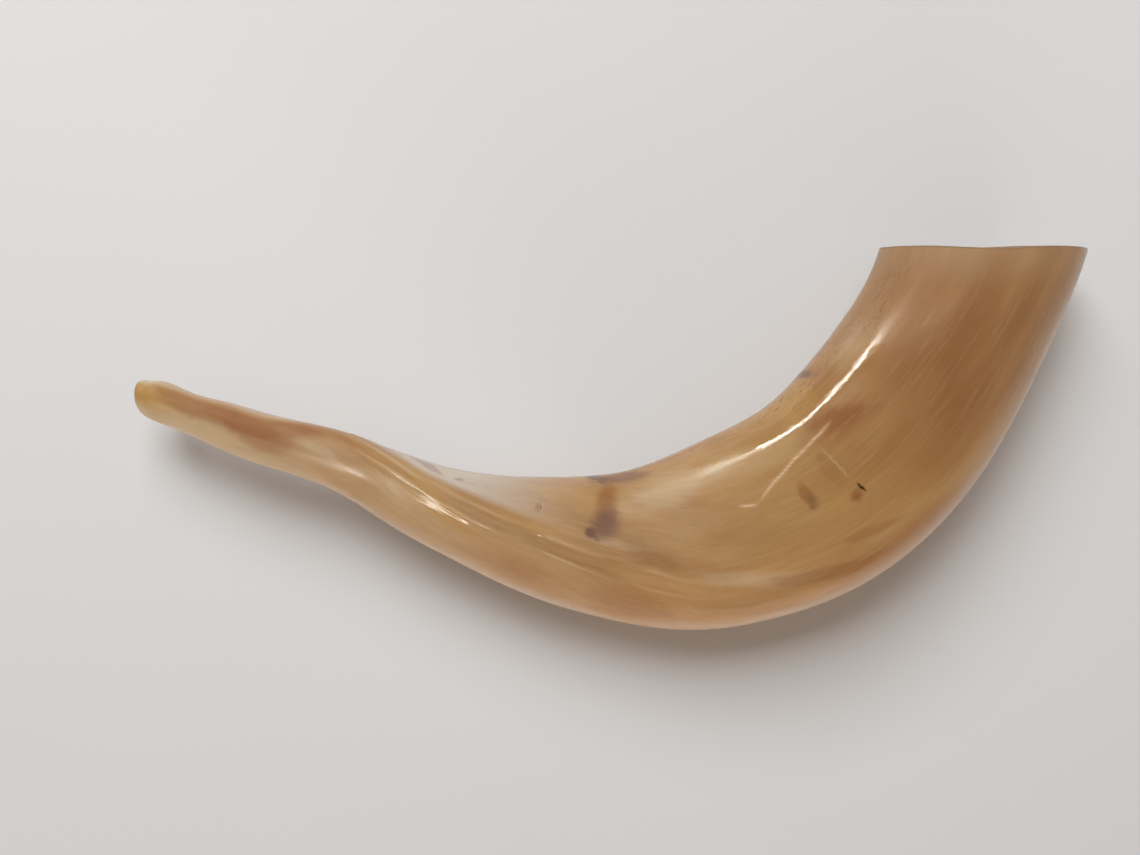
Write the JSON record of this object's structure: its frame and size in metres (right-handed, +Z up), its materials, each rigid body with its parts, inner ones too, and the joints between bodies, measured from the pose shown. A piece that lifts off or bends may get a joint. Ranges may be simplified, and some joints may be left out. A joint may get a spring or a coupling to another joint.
{
  "type": "shofar",
  "caption": "Polished ram's horn shofar: a drilled tip with a carved mouthpiece, a keeled neck, a hollow curved body and an obliquely cut oval bell.",
  "frame": {"origin": "middle of the horn's bounding box, on the surface that the horn lies on", "axes": "+X from the mouthpiece towards the bell, +Y towards the inside of the bend, +Z up"},
  "size_m": [0.3054, 0.1291, 0.0494],
  "materials": {
    "horn": "satin",
    "pale_horn": "satin"
  },
  "bodies": {
    "root": {"mouthpiece": "pale_horn", "stem": "horn", "neck": "horn", "bend": "horn", "bell": "horn", "bell_rim": "pale_horn"}
  },
  "joints": []
}
